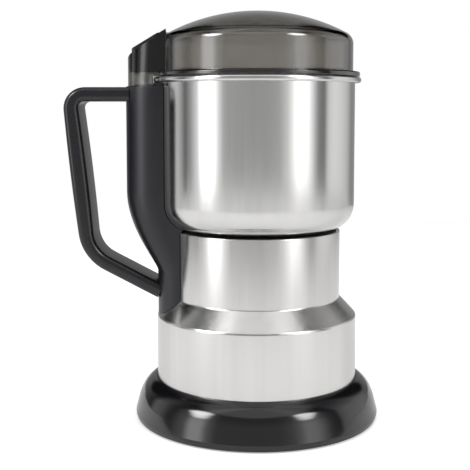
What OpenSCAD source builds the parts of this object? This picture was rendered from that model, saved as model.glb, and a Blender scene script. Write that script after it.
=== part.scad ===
// Electric spice grinder with a handled spine and a push lid.
// Origin: axis of the bowl and motor, at the plane the grinder stands on.
// +Z is up, the handle is towards -X. Sizes are millimetres.

/* [Base] */
// How far the base ring spreads past the motor housing
base_flare = 13.2; // [12:0.2:20]
// Height of the base ring
base_h = 24.5; // [24:0.5:32]
// How far the skirt of the base leans in below its shoulder
base_lean = 2.6; // [0:0.2:5]
// Rounding of the base ring's shoulder
base_round = 9; // [5:0.5:11]
// Wall of the base ring and of the bottom plate
base_wall = 2.4; // [1.6:0.1:3]
// Thickness of the rubber ring that the grinder stands on
foot_h = 2.6; // [1.5:0.1:4]
// Width of that rubber ring
foot_w = 6; // [4:0.5:8]
// Number of vent slots in the bottom plate
vent_count = 16; // [8:1:20]
// Radius of the cord's hole through its gland
cord_bore_r = 3.75; // [3:0.05:4]
// Height of the cord's hole above the table
cord_z = 11; // [10.6:0.1:12]

/* [Motor housing] */
// Outer radius of the lower body
body_r = 59.3; // [57:0.1:61]
// Height where the shoulder starts
body_top = 61.5; // [58:0.5:66]
// How far the neck is set in from the lower body
neck_in = 10; // [8:0.1:11]
// Height of the foot of the neck
neck_z = 72.2; // [70:0.2:76]
// Height of the top of the neck
neck_top = 111; // [109:0.5:114]
// Steel thickness of the motor housing
body_wall = 1; // [0.8:0.1:1.4]

/* [Bowl] */
// Outer radius of the bowl
bowl_r = 57.5; // [56:0.1:60]
// Radius of the bowl's rounded bottom edge
bowl_round = 16; // [12:0.5:17]
// Height of the bowl's rim
bowl_top = 201.5; // [195:0.5:212]
// How far the rolled rim stands out past the bowl
rim_lap = 3.5; // [2.5:0.1:4]
// Height of the rolled rim
rim_h = 3.3; // [2.6:0.1:4]
// Steel thickness of the bowl
bowl_wall = 0.9; // [0.7:0.1:1.2]
// Space between the outer and the inner bowl
bowl_space = 0.7; // [0.4:0.1:1.2]
// Height of the boss that the inner bowl stands on
boss_h = 9; // [7:0.5:12]
// Thickness of the black gasket under the bowl
gasket_h = 1; // [0.8:0.1:1.5]

/* [Spine and handle] */
// Depth of the spine behind the bowl
spine_d = 19.6; // [18:0.1:22]
// The same behind the neck
waist_d = 9.5; // [8:0.1:11]
// Half the width of the spine
spine_w = 22; // [20:0.5:24]
// How far below the rim the spine starts to curve in
curve_drop = 66.5; // [62:0.5:70]
// Height where that curve ends
curve_foot = 88; // [84:1:94]
// Gap between the top of the spine and the level of the bowl's rim
spine_drop = 5.6; // [5:0.1:7]
// Squareness of the spine's cross-section, where 2 is an ellipse
spine_square = 2.8; // [2.4:0.1:3.4]
// Width of the handle
grip_w = 28; // [22:1:30]
// Thickness of the grip
grip_t = 9.8; // [8.4:0.1:11]
// Thickness of the handle's two arms
arm_t = 8.4; // [7:0.1:9.4]
// Rounding of the handle's long edges
grip_edge = 3.2; // [1:0.1:3.6]
// Reach of the handle from the spine
grip_out = 36.3; // [32:0.2:42]
// Lean of the grip towards the body, in degrees
grip_lean = 6.2; // [3:0.1:9]
// Slope of the lower arm, in degrees
arm_slope = 27.5; // [22:0.5:32]
// Height of the middle of the lower arm where it meets the spine
arm_z = 77; // [75:0.5:82]
// Bend radius of the handle's upper corner
bend_top = 8; // [6.5:0.5:12]
// Bend radius of the handle's lower corner
bend_foot = 23; // [12:0.5:26]

/* [Lid] */
// How far the lid's wall is set in from the bowl's
lid_inset = 1.2; // [0.5:0.1:2]
// Height of the whole grinder
apex_z = 240; // [238:0.5:256]
// Radius of the dome
dome_r = 112; // [106:1:140]
// Rounding where the lid's wall turns into the dome
lid_round = 5; // [4:0.5:6]
// Wall of the lid
lid_wall = 2.5; // [1.8:0.1:3]
// Height of the lip at the foot of the lid
lip_h = 2.8; // [2:0.1:4]
// How far the lip is set in from the rolled rim
lip_inset = 0.7; // [0.2:0.1:1.5]
// Depth of the skirt that centres the lid in the bowl
skirt_h = 5.5; // [4:0.5:8]

/* [Push button] */
// Slope of the tab's roof, in degrees
roof_slope = 31; // [26:0.5:34]
// Height of the roof's lower end above the bowl's rim
roof_z = 13.1; // [12:0.1:15]
// How far the button stands above the roof
button_rise = 2.4; // [1.5:0.1:4]
// Travel of the button
button_travel = 3; // [2:0.1:3.5]
// Width of the button
button_w = 24; // [18:0.5:26]
// Number of grip ribs on the button
rib_count = 7; // [4:1:9]
// Distance of the button's stem from the bowl
stem_d = 8.5; // [7.5:0.1:9.5]

/* [Motor] */
// Radius of the stator
stator_r = 40; // [38:0.5:42]
// Height of the iron core
core_h = 38; // [30:1:40]
// Radius of the rotor
rotor_r = 20.2; // [18:0.1:21]
// Air gap between rotor and stator
air_gap = 0.8; // [0.5:0.1:1.2]
// Radius of the shaft
shaft_r = 4; // [3.5:0.1:4.5]
// Number of rotor slots
slot_count = 12; // [8:1:16]
// Radius of the cooling fan
fan_r = 36; // [28:1:40]
// Number of fan blades
fan_blades = 9; // [5:1:13]

/* [Blade] */
// Length of each cutting wing from the axis
wing_l = 41; // [30:0.5:45]
// Width of a wing
wing_w = 13; // [9:0.5:15]
// Thickness of the blade
blade_t = 2; // [1.5:0.1:2.5]
// Upward bend of the upper wings, in degrees
wing_up = 20; // [10:1:30]
// Downward bend of the lower wings, in degrees
wing_down = 7; // [2:1:9]

/* [Clearances] */
// Gap between pieces that are fixed together
fit = 0.2; // [0.1:0.05:0.3]
// Gap between pieces that slide on each other
slide = 0.3; // [0.25:0.05:0.4]
// Radial gap of a shaft in its bearing
run = 0.05; // [0.02:0.01:0.08]

/* [Hidden] */
$fn = 96;
far = 200;

steel = [0.74, 0.74, 0.75];
black = [0.09, 0.09, 0.1];
charcoal = [0.16, 0.16, 0.18];
smoke = [0.36, 0.34, 0.32, 0.75];
brass = [0.8, 0.62, 0.3];
copper = [0.72, 0.4, 0.22];
iron = [0.42, 0.42, 0.45];

// Radii that follow from the housing and the bowl.
base_r = body_r + base_flare;
neck_r = body_r - neck_in;
rim_r = bowl_r + rim_lap;
lid_r = bowl_r - lid_inset;
lip_r = rim_r - lip_inset;
spine_x = bowl_r + spine_d;
waist_x = neck_r + waist_d;
grip_reach = spine_x + grip_out;
stem_x = bowl_r + stem_d;

// Base: the ring's lower edge clears the table by a little, and its ledge carries the housing.
ring_z = 0.6;
ledge_z = base_h - 5;
ledge_in = body_r - 4;
seat_r = body_r + fit;
plate_z = foot_h;
plate_r = base_r - base_wall - 2;
plate_top = plate_z + base_wall;
base_bolt_r = plate_r - 7.2;
screw_r = 1.6;
head_r = 3;
head_h = 2;
gland_r = cord_bore_r + 1.6;
gland_in = base_r - base_wall - base_lean - 3;
gland_out = base_r + 1.2;
foot_r = base_bolt_r - head_r - 1;
hub_hole_r = 9;
base_thread = 8;
vent_w = 3.2;
vent_in = 30;
vent_out = foot_r - foot_w - 3;

// Bowl heights, from the neck's rim up.
bowl_foot = neck_top + gasket_h;
shell_top = bowl_top - rim_h;
inner_r = bowl_r - bowl_wall - bowl_space;
floor_z = neck_top + boss_h;
boss_r = 16;
boss_bore = shaft_r + 5;
boss_bolt_r = 12.5;
gasket_in = boss_r + 12;
gasket_out = neck_r - 2;
rim_open = gasket_in - 2;

// Motor heights, from the neck's rim down.
plate_t = 4;
motor_top = neck_top - body_wall;
bearing_or = shaft_r + 7;
bearing_h = 7;
hub_h = bearing_h + 7;
hub_low = motor_top - hub_h;
turn_h = 5;
core_top = hub_low - turn_h - 1.5;
core_low = core_top - core_h;
comm_h = 10;
comm_r = rotor_r - 9;
comm_top = core_low - turn_h - 1;
comm_low = comm_top - comm_h;
bracket_t = 4;
bracket_r = 17;
bracket_w = 14;
brush_out = comm_r + 15;
motor_thread = 10;
motor_head_r = 3.4;
lower_r = shaft_r - 1;
small_bearing_or = lower_r + 6.5;
small_bearing_h = 6;
bracket_top = comm_low - small_bearing_h - 1;
bracket_low = bracket_top - bracket_t;
fan_h = 8;
fan_top = bracket_low - head_h - 1;
fan_low = fan_top - fan_h;
shaft_low = fan_low - 0.5;
motor_bolt_r = stator_r - 4.5;
motor_screw_r = 2;
pole_in = rotor_r + air_gap;
yoke_in = stator_r - 9;
pole_angle = 50;
coil_angle = 66;
brush = 6;

// Blade heights, from the bowl's floor up.
hub_foot = floor_z + bowl_wall + 1;
blade_z = hub_foot + 7;
hub_r = 8.5;
wing_root = 1.5;
nut_r = 7.5;
nut_h = 6;
shaft_top = blade_z + blade_t + nut_h + 2;

// Spine and the switch inside it.
spine_top = bowl_top - spine_drop;
curve_top = bowl_top - curve_drop;
spine_wall = 3.5;
spine_flank = bowl_r - 2.5;
waist_flank = neck_r - 5.3;
cavity_x = spine_x - spine_wall - 0.6;
cavity_w = spine_w - 9;
cavity_low = curve_top + 3;
duct_x = waist_x - spine_wall - 0.8;
duct_w = 6;
roof_t = 2.6;
rod_r = 3;
rod_top = spine_top + 2.3;
collar_h = 2;
collar_top = spine_top - roof_t - slide;
collar_low = collar_top - collar_h;
shelf_t = 2.5;
shelf_top = collar_low - 11;
shelf_low = shelf_top - shelf_t;
rod_low = shelf_low - button_travel - 1;
switch_top = rod_low - button_travel - slide;
switch_h = 16;
switch_w = 20;
switch_d = 9;
pin_r = 1.4;
wire = 0.7;

// Handle: the middle line of the strap, from the top of the spine round to the neck.
arm_top = spine_top - arm_t / 2 - 0.2;
grip_x = grip_reach - arm_t / 2 / cos(grip_lean) - (bend_top - 8) * tan(grip_lean);
elbow_x = (grip_x - (arm_top - arm_z + waist_x * tan(arm_slope)) * tan(grip_lean))
    / (1 - tan(arm_slope) * tan(grip_lean));
elbow_z = arm_z + (elbow_x - waist_x) * tan(arm_slope);
root = 5;
strap_path = [[-(spine_x - root), arm_top, 0], [-grip_x, arm_top, bend_top],
              [-elbow_x, elbow_z, bend_foot], [-(waist_x - root), arm_z - root * tan(arm_slope), 0]];
grip_screw_y = 6.5;
grip_screw_l = 12;
grip_screw_z = spine_top - roof_t - head_r - 0.4;
arm_screw_z = arm_z + 2.4;

// Lid heights, from the bowl's rim up.
lip_z = bowl_top + slide;
dome_z = apex_z - dome_r;
wall_top = dome_z + sqrt(dome_r * dome_r - lid_r * lid_r);
lid_in = lid_r - lid_wall;
skirt_r = inner_r - bowl_wall - 0.9;
skirt_in = skirt_r - 2;

// Tab over the spine, with the push button in its roof.
tab_low = spine_top + 0.5;
tab_gap = 2;
roof_x = spine_x - 3.7;
roof_foot = bowl_top + roof_z;
roof_drop = lid_wall / cos(roof_slope);
guide_low = bowl_top + 1.2;
guide_floor = 1.5;
pocket_z = guide_low + guide_floor;
button_out = roof_x - 0.8;
button_in = lid_r + 0.8;
button_low = pocket_z + button_travel + 2.1;
lug_h = 1.5;
lug_w = 1.2;
lug_in = 3;
stem_r = 2.5;
stem_low = rod_top + slide;
bezel_h = 1.1;
bezel_w = 1.3;

// Corners [x, y, radius] become a smooth outline, with each rounded corner drawn as an arc.
function unit(v) = v / norm(v);
function turn(from, to) = (to - from + 540) % 360 - 180;
function corner(a, b, c, r, n) =
    r <= 0 ? [b] :
    let (u = unit(a - b), v = unit(c - b), half = acos(u * v) / 2,
         o = b + unit(u + v) * r / sin(half),
         p = b + u * r / tan(half) - o, q = b + v * r / tan(half) - o,
         start = atan2(p.y, p.x), sweep = turn(start, atan2(q.y, q.x)))
    [for (i = [0 : n]) o + r * [cos(start + sweep * i / n), sin(start + sweep * i / n)]];
function xy(p) = [p.x, p.y];
function soften(p, n = 6) =
    [for (i = [0 : len(p) - 1])
        each corner(xy(p[(i + len(p) - 1) % len(p)]), xy(p[i]), xy(p[(i + 1) % len(p)]), p[i].z, n)];

// Arc points around [x, y] from one angle to another.
function arc(x, y, r, from, to, n) =
    [for (i = [0 : n]) let (a = from + (to - from) * i / n) [x + r * cos(a), y + r * sin(a)]];

// Half of a rounded-square outline that bulges towards -X: flank is where its sides start.
function sgn_pow(v, e) = sign(v) * pow(abs(v), e);
function bulge(face, flank, w, n = 16) =
    [for (i = [-n : n]) let (a = 90 * i / n)
        [-(flank + (face - flank) * sgn_pow(cos(a), 2 / spine_square)), w * sgn_pow(sin(a), 2 / spine_square)]];

// Solid of revolution from an outline of [radius, height] points.
module revolve(points) {
    rotate_extrude() polygon(points);
}

module tube(outer, inner, low, high) {
    translate([0, 0, low])
        difference() {
            cylinder(r = outer, h = high - low);
            translate([0, 0, -1]) cylinder(r = inner, h = high - low + 2);
        }
}

module sector(inner, outer, low, high, angle) {
    rotate([0, 0, -angle])
        rotate_extrude(angle = 2 * angle)
            translate([inner, low]) square([outer - inner, high - low]);
}

module around(count, radius, start = 0) {
    for (i = [0 : count - 1])
        rotate([0, 0, start + 360 * i / count]) translate([radius, 0, 0]) children();
}

// Pan-head screw that points up, with the underside of its head at the origin.
module screw(r, length, head = head_r) {
    cylinder(r = r, h = length);
    translate([0, 0, -head_h])
        difference() {
            cylinder(r1 = head - 0.6, r2 = head, h = head_h);
            translate([0, 0, -1]) cylinder(r = head / 2, h = head_h / 2 + 1, $fn = 6);
        }
}

// Coil spring standing on z = 0, as one swept tube.
module coil(radius, turns, height) {
    sides = 6;
    steps = 14 * turns;
    ring = [for (i = [0 : steps]) let (a = 360 * turns * i / steps, z = wire + (height - 2 * wire) * i / steps)
        for (k = [0 : sides - 1]) let (b = 360 * k / sides, r = radius + wire * cos(b))
            [r * cos(a), r * sin(a), z + wire * sin(b)]];
    wall = [for (i = [0 : steps - 1], k = [0 : sides - 1])
        let (a = i * sides + k, b = i * sides + (k + 1) % sides)
        each [[a, a + sides, b], [b, a + sides, b + sides]]];
    foot = [for (k = [1 : sides - 2]) [0, k, k + 1]];
    tip = [for (k = [1 : sides - 2]) [steps * sides, steps * sides + k + 1, steps * sides + k]];
    polyhedron(points = ring, faces = concat(wall, foot, tip));
}

/* Base */

// Screw bosses hang from the ledge and reach down to the bottom plate.
module base_bosses() {
    around(4, base_bolt_r, 45)
        translate([0, 0, plate_top]) cylinder(r = 4.2, h = ledge_z - 0.6 - plate_top);
}

module base_skin() {
    top = base_h;
    lean_r = base_r - base_lean;
    revolve(soften([[base_r - base_wall - 0.6, ring_z, 0.4], [base_r - 0.8, ring_z, 1.2],
                    [base_r, ring_z + 3, 3], [lean_r, top - base_round - 1.5, 2.6 * base_round],
                    [lean_r - base_round * 0.45, top - 2.4, 4 / 3 * base_round], [seat_r, top, 0.5],
                    [seat_r, ledge_z, 0], [ledge_in, ledge_z, 0],
                    [ledge_in, ledge_z - base_wall, 0],
                    [lean_r - base_wall - 2.5, ledge_z - base_wall, 2]]));
}

module base_ring() {
    color(black)
        difference() {
            union() {
                base_skin();
                base_bosses();
            }
            around(4, base_bolt_r, 45)
                cylinder(r = screw_r + fit / 2, h = plate_top + base_thread + 1);
            translate([0, gland_in - base_wall, cord_z])
                rotate([-90, 0, 0]) cylinder(r = gland_r + fit, h = far);
        }
}

module bottom_plate() {
    color(charcoal)
        difference() {
            translate([0, 0, plate_z]) cylinder(r = plate_r, h = base_wall);
            around(4, base_bolt_r, 45)
                cylinder(r = screw_r + fit, h = base_h);
            for (i = [0 : vent_count - 1])
                rotate([0, 0, 360 * i / vent_count]) vent();
            cylinder(r = hub_hole_r, h = base_h);
        }
}

module vent() {
    translate([vent_in, -vent_w / 2, 0]) cube([vent_out - vent_in, vent_w, base_h]);
}

module foot_ring() {
    color(black) tube(foot_r, foot_r - foot_w, 0, plate_z);
}

module base_screws() {
    color(steel)
        around(4, base_bolt_r, 45)
            translate([0, 0, plate_z]) screw(screw_r, base_wall + base_thread);
}

module cord_gland() {
    color(black)
        translate([0, gland_in, cord_z])
            rotate([-90, 0, 0])
                difference() {
                    union() {
                        cylinder(r = gland_r, h = gland_out - gland_in);
                        translate([0, 0, base_r - gland_in]) cylinder(r = gland_r + 1.2, h = gland_out - base_r);
                    }
                    translate([0, 0, -1]) cylinder(r = cord_bore_r, h = gland_out - gland_in + 2);
                }
}

/* Motor housing */

module motor_housing() {
    t = body_wall;
    run_in = (body_r - neck_r) / (neck_z - body_top);
    shift = t * (sqrt(1 + run_in * run_in) - 1) / run_in;
    color(steel)
        revolve(soften([[body_r - t, ledge_z, 0], [body_r, ledge_z, 0], [body_r, body_top, 2.2],
                        [neck_r, neck_z, 1.2], [neck_r, neck_top, 1.4], [rim_open, neck_top, 0],
                        [rim_open, neck_top - t, 0], [neck_r - t, neck_top - t, 0],
                        [neck_r - t, neck_z - shift * run_in, 2.2], [body_r - t, body_top - shift * run_in, 1.2]]));
}

module motor_plate() {
    color([0.62, 0.63, 0.65])
        difference() {
            union() {
                translate([0, 0, motor_top - plate_t]) cylinder(r = neck_r - body_wall - fit, h = plate_t);
                translate([0, 0, hub_low]) cylinder(r = bearing_or + 3, h = hub_h - 1);
                around(2, motor_bolt_r, 0)
                    translate([0, 0, core_top]) cylinder(r = 4.5, h = motor_top - 1 - core_top);
            }
            translate([0, 0, hub_low - 1]) cylinder(r = bearing_or, h = bearing_h + 1);
            translate([0, 0, hub_low - 1]) cylinder(r = shaft_r + 2, h = far);
            around(3, boss_bolt_r, 30)
                translate([0, 0, hub_low + bearing_h + 2]) cylinder(r = screw_r + fit, h = far);
            around(6, 31, 30)
                translate([0, 0, motor_top - plate_t - 1]) cylinder(r = 7, h = plate_t + 2);
            around(2, motor_bolt_r, 0)
                translate([0, 0, core_top - 1]) cylinder(r = motor_screw_r + fit / 2, h = 14);
        }
}

module bowl_boss() {
    color([0.62, 0.63, 0.65])
        difference() {
            translate([0, 0, motor_top]) cylinder(r = boss_r, h = floor_z - motor_top);
            translate([0, 0, motor_top - 1]) cylinder(r = boss_bore - 2, h = far);
            translate([0, 0, floor_z - 4]) cylinder(r = boss_bore, h = far);
            around(3, boss_bolt_r, 30)
                translate([0, 0, motor_top - 1]) cylinder(r = screw_r + fit / 2, h = 8);
        }
}

module boss_screws() {
    low = motor_top - plate_t + 1;
    color(steel)
        around(3, boss_bolt_r, 30)
            translate([0, 0, low]) cylinder(r = screw_r, h = plate_t + 4.5);
}

module bearing(outer, inner, low, h) {
    color(steel)
        difference() {
            tube(outer, inner, low, low + h);
            translate([0, 0, low + h - 0.8]) tube(outer - 2.2, inner + 1.8, 0, 2);
            translate([0, 0, low - 1.2]) tube(outer - 2.2, inner + 1.8, 0, 2);
        }
}

module upper_bearing() {
    bearing(bearing_or - fit / 2, shaft_r + run, hub_low, bearing_h);
}

module lower_bearing() {
    bearing(small_bearing_or - fit / 2, lower_r + run, bracket_top - 1, small_bearing_h);
}

module lower_bracket() {
    color([0.62, 0.63, 0.65])
        difference() {
            union() {
                translate([0, 0, bracket_low]) cylinder(r = bracket_r, h = bracket_t);
                translate([-motor_bolt_r, -bracket_w / 2, bracket_low])
                    cube([2 * motor_bolt_r, bracket_w, bracket_t]);
                translate([-bracket_w / 2, -brush_out, bracket_low]) cube([bracket_w, 2 * brush_out, bracket_t]);
                translate([0, 0, bracket_low]) cylinder(r = small_bearing_or + 2.5, h = bracket_t + small_bearing_h - 1);
                around(2, motor_bolt_r, 0)
                    translate([0, 0, bracket_low]) cylinder(r = 4.5, h = core_low - bracket_low);
            }
            translate([0, 0, bracket_top - 1]) cylinder(r = small_bearing_or, h = far);
            translate([0, 0, bracket_low - 1]) cylinder(r = lower_r + 2, h = far);
            around(2, motor_bolt_r, 0)
                translate([0, 0, bracket_low - 1]) cylinder(r = motor_screw_r + fit, h = far);
        }
}

module motor_screws() {
    color(steel)
        around(2, motor_bolt_r, 0)
            translate([0, 0, bracket_low]) screw(motor_screw_r, core_top - bracket_low + motor_thread, motor_head_r);
}

/* Motor */

module stator_core() {
    color(iron)
        difference() {
            union() {
                tube(stator_r, yoke_in, core_low, core_top);
                for (side = [0, 180])
                    rotate([0, 0, side + 90]) sector(pole_in, yoke_in + 1, core_low, core_top, pole_angle);
            }
            around(2, motor_bolt_r, 0)
                translate([0, 0, core_low - 1]) cylinder(r = motor_screw_r + fit, h = core_h + 2);
        }
}

// Each coil is a loop of windings round its pole, with a finger of air on all sides.
module field_coils() {
    gap = 0.4;
    color(copper)
        for (side = [90, 270])
            rotate([0, 0, side])
                difference() {
                    sector(pole_in + 2.5, yoke_in - gap, core_low - turn_h, core_top + turn_h, coil_angle);
                    sector(pole_in, yoke_in + 1, core_low - gap, core_top + gap, pole_angle + 1);
                }
}

module brush_holders() {
    inside = brush / 2 + fit;
    outside = inside + 0.8;
    color(brass)
        for (side = [90, 270])
            rotate([0, 0, side])
                difference() {
                    union() {
                        translate([comm_r + 2.5, -outside, comm_low + comm_h / 2 - outside])
                            cube([13, 2 * outside, 2 * outside]);
                        translate([comm_r + 6, -outside, bracket_top])
                            cube([8, 2 * outside, comm_low + comm_h / 2 - bracket_top - inside]);
                    }
                    translate([comm_r, -inside, comm_low + comm_h / 2 - inside])
                        cube([20, 2 * inside, 2 * inside]);
                }
}

module carbon_brushes() {
    color(black)
        for (side = [90, 270])
            rotate([0, 0, side])
                difference() {
                    translate([comm_r - 2, -brush / 2, comm_low + comm_h / 2 - brush / 2])
                        cube([16, brush, brush]);
                    cylinder(r = comm_r + slide, h = far);
                }
}

module motor_shaft() {
    color(steel)
        union() {
            translate([0, 0, shaft_low]) cylinder(r = lower_r, h = comm_low - shaft_low);
            translate([0, 0, comm_low]) cylinder(r = shaft_r, h = shaft_top - comm_low);
        }
}

module rotor_core() {
    color(iron)
        difference() {
            tube(rotor_r, shaft_r, core_low, core_top);
            around(slot_count, 0)
                translate([rotor_r - 7, -1, core_low - 1]) cube([8, 2, core_h + 2]);
        }
}

module rotor_windings() {
    color(copper)
        for (low = [core_low - turn_h + 0.5, core_top])
            revolve(soften([[shaft_r + 2, low, 1], [rotor_r - 3, low, 2],
                            [rotor_r - 3, low + turn_h - 0.5, 2], [shaft_r + 2, low + turn_h - 0.5, 1]]));
}

module commutator() {
    color(copper)
        difference() {
            union() {
                tube(comm_r, shaft_r, comm_low, comm_top);
                tube(comm_r - 3, shaft_r, comm_top, core_low - turn_h + 0.5);
            }
            around(slot_count * 2, 0)
                translate([comm_r - 1.2, -0.3, comm_low - 1]) cube([3, 0.6, comm_h + 2]);
        }
}

module cooling_fan() {
    color(charcoal)
        difference() {
            union() {
                translate([0, 0, fan_top - 1.6]) cylinder(r = fan_r, h = 1.6);
                translate([0, 0, fan_low]) cylinder(r = 7, h = fan_h);
                intersection() {
                    for (i = [0 : fan_blades - 1])
                        rotate([0, 0, 360 * i / fan_blades]) fan_blade();
                    translate([0, 0, fan_low]) tube(fan_r, 12, 0, fan_h);
                }
            }
            translate([0, 0, fan_low - 1]) cylinder(r = lower_r, h = fan_h + 2);
        }
}

module fan_blade() {
    translate([12, 0, fan_low])
        rotate([0, 0, 24]) translate([0, -0.8, 0]) cube([fan_r, 1.6, fan_h - 1]);
}

/* Bowl */

module bowl_gasket() {
    color(black) tube(gasket_out, gasket_in, neck_top, bowl_foot);
}

// Outline of a round-bottomed pot: solid up to its rim.
function pot(r, low, high, round) =
    concat([[0, low]], arc(r - round, low + round, round, -90, 0, 12), [[r, high], [0, high]]);

module pot_shell(r, low, high, round) {
    difference() {
        revolve(pot(r, low, high, round));
        revolve(pot(r - bowl_wall, low + bowl_wall, high + 1, round - bowl_wall));
    }
}

module bowl_shell() {
    color(steel)
        difference() {
            pot_shell(bowl_r, bowl_foot, shell_top, bowl_round);
            cylinder(r = boss_r + fit, h = bowl_foot + 5);
        }
}

module grinding_bowl() {
    color(steel)
        difference() {
            union() {
                pot_shell(inner_r, floor_z, bowl_top - 0.5, bowl_round - 4);
                revolve(soften([[inner_r - bowl_wall, shell_top, 0], [rim_r, shell_top, 1],
                                [rim_r, bowl_top, 1.3], [inner_r - bowl_wall, bowl_top, 0.8]]));
            }
            cylinder(r = boss_bore - 2, h = floor_z + 5);
        }
}

module shaft_seal() {
    lip = shaft_r + slide;
    color(black)
        difference() {
            union() {
                tube(boss_bore - fit / 2, lip, floor_z - 4, floor_z);
                tube(boss_bore - 2 - fit / 2, lip, floor_z - 1, hub_foot - slide);
            }
        }
}

/* Blade */

module blade_hub() {
    color(steel)
        revolve([[shaft_r, hub_foot], [hub_r, hub_foot], [hub_r, hub_foot + 3], [hub_r - 2, blade_z],
                 [shaft_r, blade_z]]);
}

// One wing along +X, sharpened on its leading edge, bent just outside the hub.
module wing(bend) {
    translate([hub_r + wing_root, 0, 0])
        rotate([0, -bend, 0])
            translate([-wing_root, 0, 0])
                rotate([90, 0, 90])
                    linear_extrude(wing_l - hub_r)
                        polygon([[-wing_w / 2, 0], [wing_w / 2 - 3.5, 0], [wing_w / 2, blade_t - 0.4],
                                 [wing_w / 2, blade_t], [-wing_w / 2, blade_t]]);
}

module grinding_blade() {
    color([0.82, 0.82, 0.84])
        difference() {
            union() {
                translate([0, 0, blade_z]) cylinder(r = hub_r + 2.5, h = blade_t);
                translate([0, 0, blade_z]) {
                    for (side = [0, 180])
                        rotate([0, 0, side + 35]) wing(wing_up);
                    for (side = [90, 270])
                        rotate([0, 0, side + 35]) wing(-wing_down);
                }
            }
            translate([0, 0, blade_z - 1]) cylinder(r = shaft_r, h = blade_t + 2);
        }
}

module blade_nut() {
    color(steel)
        difference() {
            union() {
                translate([0, 0, blade_z + blade_t]) cylinder(r = nut_r, h = nut_h, $fn = 6);
                translate([0, 0, blade_z + blade_t + nut_h]) cylinder(r1 = nut_r - 1.5, r2 = shaft_r, h = nut_h / 2);
            }
            translate([0, 0, blade_z]) cylinder(r = shaft_r, h = shaft_top - blade_z);
        }
}

/* Spine and handle */

// The spine's outer face runs down the bowl, sweeps in under it and ends at the neck.
function sweep_in(z) =
    let (u = min(1, max(0, (z - curve_foot) / (curve_top - curve_foot))), v = pow(u, 0.65))
    v * v * (3 - 2 * v);
function spine_levels() =
    concat([body_top - 3], [for (i = [0 : 18]) curve_foot + (curve_top - curve_foot) * i / 18], [spine_top]);
function spine_outline(z) =
    let (s = sweep_in(z), back = neck_r - 12)
    concat([[-back, -spine_w]],
           bulge(waist_x + (spine_x - waist_x) * s, waist_flank + (spine_flank - waist_flank) * s, spine_w),
           [[-back, spine_w]]);

// Closed skin over a row of rings that have as many points each.
module skin(rings) {
    count = len(rings[0]);
    last = (len(rings) - 1) * count;
    wall = [for (i = [0 : len(rings) - 2], k = [0 : count - 1])
        let (a = i * count + k, b = i * count + (k + 1) % count)
        each [[a, a + count, b], [b, a + count, b + count]]];
    polyhedron(points = [for (ring = rings) each ring],
               faces = concat(wall, [[for (k = [0 : count - 1]) k]],
                              [[for (k = [0 : count - 1]) last + count - 1 - k]]));
}

module spine_block() {
    skin([for (z = spine_levels()) [for (p = spine_outline(z)) [p.x, p.y, z]]]);
}

// A straight stretch of the spine, where its section stays the same.
module spine_prism(low, high) {
    translate([0, 0, low]) linear_extrude(high - low) polygon(spine_outline(low + 1));
}

// Everything the spine leans against: neck, shoulder and bowl, grown by the clearance.
module body_relief(gap) {
    rise = (neck_z - body_top) / (body_r - neck_r);
    lift = gap * sqrt(1 + rise * rise);
    cylinder(r = neck_r + gap, h = far);
    revolve([[0, 0], [body_r + 2, 0], [body_r + 2, body_top + lift - 2 * rise],
             [neck_r - 1, neck_z + lift + rise], [0, neck_z + lift + rise]]);
    revolve(pot(bowl_r + gap, bowl_foot - gap, far, bowl_round + gap));
}

module spine_housing() {
    color(charcoal)
        difference() {
            spine_block();
            body_relief(fit);
            translate([-cavity_x, -cavity_w, cavity_low])
                cube([cavity_x - bowl_r + 4, 2 * cavity_w, shelf_low - cavity_low]);
            translate([-cavity_x, -cavity_w, shelf_top])
                cube([cavity_x - bowl_r + 4, 2 * cavity_w, spine_top - roof_t - shelf_top]);
            translate([-duct_x, -duct_w, neck_z + 1])
                cube([duct_x - neck_r + 4, 2 * duct_w, cavity_low - neck_z]);
            translate([-stem_x, 0, cavity_low]) cylinder(r = rod_r + slide, h = far);
            handle_screw_holes(screw_r + fit);
        }
}

module handle_screw_holes(r) {
    for (y = [-grip_screw_y, grip_screw_y])
        translate([-cavity_x + 1, y, grip_screw_z]) rotate([0, -90, 0]) cylinder(r = r, h = grip_screw_l + 2);
    translate([-duct_x + 1, 0, arm_screw_z]) rotate([0, -90, 0]) cylinder(r = r, h = grip_screw_l + 2);
}

module handle_screws() {
    color(steel) {
        for (y = [-grip_screw_y, grip_screw_y])
            translate([-cavity_x, y, grip_screw_z]) rotate([0, -90, 0]) screw(screw_r, grip_screw_l);
        translate([-duct_x, 0, arm_screw_z]) rotate([0, -90, 0]) screw(screw_r, grip_screw_l);
    }
}

function slab(a, b, r) =
    soften([[-a / 2, -b / 2, r], [a / 2, -b / 2, r], [a / 2, b / 2, r], [-a / 2, b / 2, r]], 5);

// Stations [x, z, heading] along a path of [x, z, bend radius], with arcs at its bends.
function heading(path, i) = let (d = xy(path[i + 1]) - xy(path[i])) atan2(d.y, d.x);
function bend(path, i, n) =
    let (from = heading(path, i - 1), sweep = turn(from, heading(path, i)), r = path[i].z,
         side = sign(sweep), setback = r * tan(abs(sweep) / 2),
         start = xy(path[i]) - setback * [cos(from), sin(from)],
         o = start + side * r * [-sin(from), cos(from)])
    [for (k = [0 : n]) let (a = from + sweep * k / n)
        [o.x + side * r * sin(a), o.y - side * r * cos(a), a]];
function between(p, q, n) = [for (k = [1 : n - 1]) [for (j = [0 : 2]) p[j] + (j < 2 ? (q[j] - p[j]) * k / n : 0)]];
function stations(path) =
    let (top = bend(path, 1, 8), foot = bend(path, 2, 10))
    concat([[path[0].x, path[0].y, heading(path, 0)]], top, between(top[8], foot[0], 5), foot,
           [[path[3].x, path[3].y, heading(path, 2)]]);

// The strap swells from its arms to the middle of the grip.
function strap_t(z) = arm_t + (grip_t - arm_t) * sin(180 * min(1, max(0, (z - elbow_z) / (arm_top - elbow_z))));

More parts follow.
